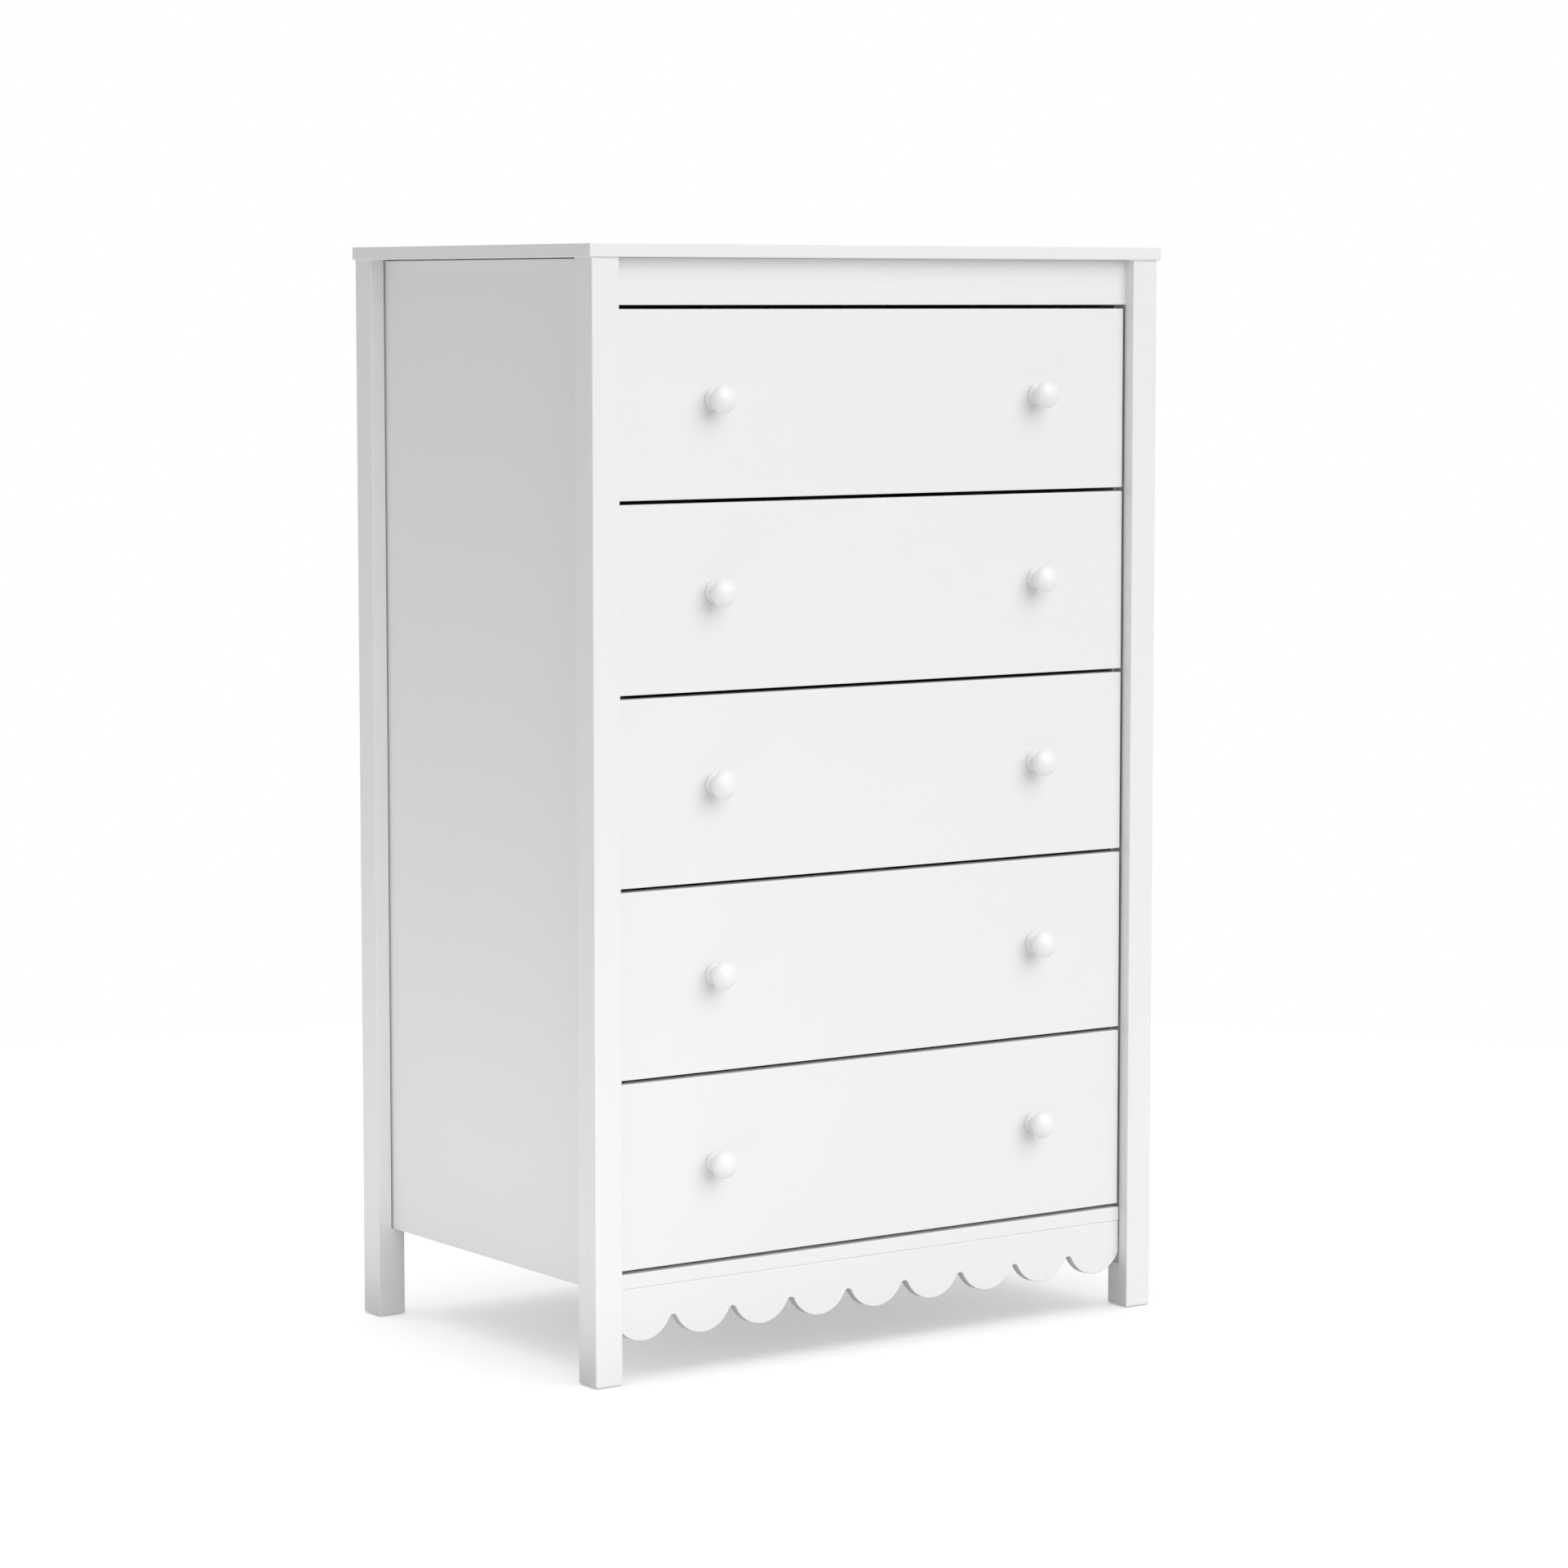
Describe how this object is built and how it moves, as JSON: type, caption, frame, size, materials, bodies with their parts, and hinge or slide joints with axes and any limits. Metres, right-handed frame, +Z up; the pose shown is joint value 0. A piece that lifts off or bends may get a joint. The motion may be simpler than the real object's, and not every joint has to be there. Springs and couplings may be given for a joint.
{
  "type": "tall chest of drawers",
  "caption": "Tall white chest of drawers with inset fronts, mushroom knobs, square corner legs and a scalloped apron; every drawer runs on telescopic slides.",
  "frame": {"origin": "on the floor, in the middle of the outer box, which reaches from the front of the knobs to the back of the legs", "axes": "+Z up; -Y is the front, where the drawers come out; +X is the right-hand side seen from the front"},
  "size_m": [0.77, 0.5032, 1.214],
  "materials": {
    "white_paint": "white satin paint on board",
    "knob_paint": "white gloss paint on turned wood",
    "drawer_wood": "clear lacquered light wood",
    "hardboard": "pale coated hardboard",
    "hardboard_back": "hardboard with a white coated face",
    "zinc_steel": "bright zinc plating",
    "glide_plastic": "moulded",
    "dowel_wood": "plain beech"
  },
  "bodies": {
    "case": {"apron": "white_paint", "back_panel": "hardboard_back", "bottom_board": "white_paint", "case_cam_fittings": "zinc_steel", "case_dowels": "dowel_wood", "case_slide_screws": "zinc_steel", "floor_glides": "glide_plastic", "front_leg_left": "white_paint", "front_leg_right": "white_paint", "rear_leg_left": "white_paint", "rear_leg_right": "white_paint", "rear_rail": "white_paint", "side_panel_left": "white_paint", "side_panel_right": "white_paint", "slide_case_members_left": "zinc_steel", "slide_case_members_right": "zinc_steel", "top_panel": "white_paint", "top_rail": "white_paint"},
    "drawer_1": {"drawer_1_back": "drawer_wood", "drawer_1_bottom": "hardboard", "drawer_1_fixings": "zinc_steel", "drawer_1_front": "white_paint", "drawer_1_knobs": "knob_paint", "drawer_1_sides": "drawer_wood", "drawer_1_slide_members": "zinc_steel"},
    "drawer_2": {"drawer_2_back": "drawer_wood", "drawer_2_bottom": "hardboard", "drawer_2_fixings": "zinc_steel", "drawer_2_front": "white_paint", "drawer_2_knobs": "knob_paint", "drawer_2_sides": "drawer_wood", "drawer_2_slide_members": "zinc_steel"},
    "drawer_3": {"drawer_3_back": "drawer_wood", "drawer_3_bottom": "hardboard", "drawer_3_fixings": "zinc_steel", "drawer_3_front": "white_paint", "drawer_3_knobs": "knob_paint", "drawer_3_sides": "drawer_wood", "drawer_3_slide_members": "zinc_steel"},
    "drawer_4": {"drawer_4_back": "drawer_wood", "drawer_4_bottom": "hardboard", "drawer_4_fixings": "zinc_steel", "drawer_4_front": "white_paint", "drawer_4_knobs": "knob_paint", "drawer_4_sides": "drawer_wood", "drawer_4_slide_members": "zinc_steel"},
    "drawer_5": {"drawer_5_back": "drawer_wood", "drawer_5_bottom": "hardboard", "drawer_5_fixings": "zinc_steel", "drawer_5_front": "white_paint", "drawer_5_knobs": "knob_paint", "drawer_5_sides": "drawer_wood", "drawer_5_slide_members": "zinc_steel"},
    "slide_middles_1": {"drawer_1_slide_middles": "zinc_steel"},
    "slide_middles_2": {"drawer_2_slide_middles": "zinc_steel"},
    "slide_middles_3": {"drawer_3_slide_middles": "zinc_steel"},
    "slide_middles_4": {"drawer_4_slide_middles": "zinc_steel"},
    "slide_middles_5": {"drawer_5_slide_middles": "zinc_steel"}
  },
  "joints": [
    {"name": "drawer_1_slide", "type": "slide", "parent": "case", "child": "drawer_1", "axis": [0, -1, 0], "range_m": [0, 0.39]},
    {"name": "drawer_1_middles_slide", "type": "slide", "parent": "case", "child": "slide_middles_1", "axis": [0, -1, 0], "range_m": [0, 0.195]},
    {"name": "drawer_2_slide", "type": "slide", "parent": "case", "child": "drawer_2", "axis": [0, -1, 0], "range_m": [0, 0.39]},
    {"name": "drawer_2_middles_slide", "type": "slide", "parent": "case", "child": "slide_middles_2", "axis": [0, -1, 0], "range_m": [0, 0.195]},
    {"name": "drawer_3_slide", "type": "slide", "parent": "case", "child": "drawer_3", "axis": [0, -1, 0], "range_m": [0, 0.39]},
    {"name": "drawer_3_middles_slide", "type": "slide", "parent": "case", "child": "slide_middles_3", "axis": [0, -1, 0], "range_m": [0, 0.195]},
    {"name": "drawer_4_slide", "type": "slide", "parent": "case", "child": "drawer_4", "axis": [0, -1, 0], "range_m": [0, 0.39]},
    {"name": "drawer_4_middles_slide", "type": "slide", "parent": "case", "child": "slide_middles_4", "axis": [0, -1, 0], "range_m": [0, 0.195]},
    {"name": "drawer_5_slide", "type": "slide", "parent": "case", "child": "drawer_5", "axis": [0, -1, 0], "range_m": [0, 0.39]},
    {"name": "drawer_5_middles_slide", "type": "slide", "parent": "case", "child": "slide_middles_5", "axis": [0, -1, 0], "range_m": [0, 0.195]}
  ],
  "couplings": [
    {"joint": "drawer_1_middles_slide", "follows": "drawer_1_slide", "ratio": 0.5},
    {"joint": "drawer_2_middles_slide", "follows": "drawer_2_slide", "ratio": 0.5},
    {"joint": "drawer_3_middles_slide", "follows": "drawer_3_slide", "ratio": 0.5},
    {"joint": "drawer_4_middles_slide", "follows": "drawer_4_slide", "ratio": 0.5},
    {"joint": "drawer_5_middles_slide", "follows": "drawer_5_slide", "ratio": 0.5}
  ]
}
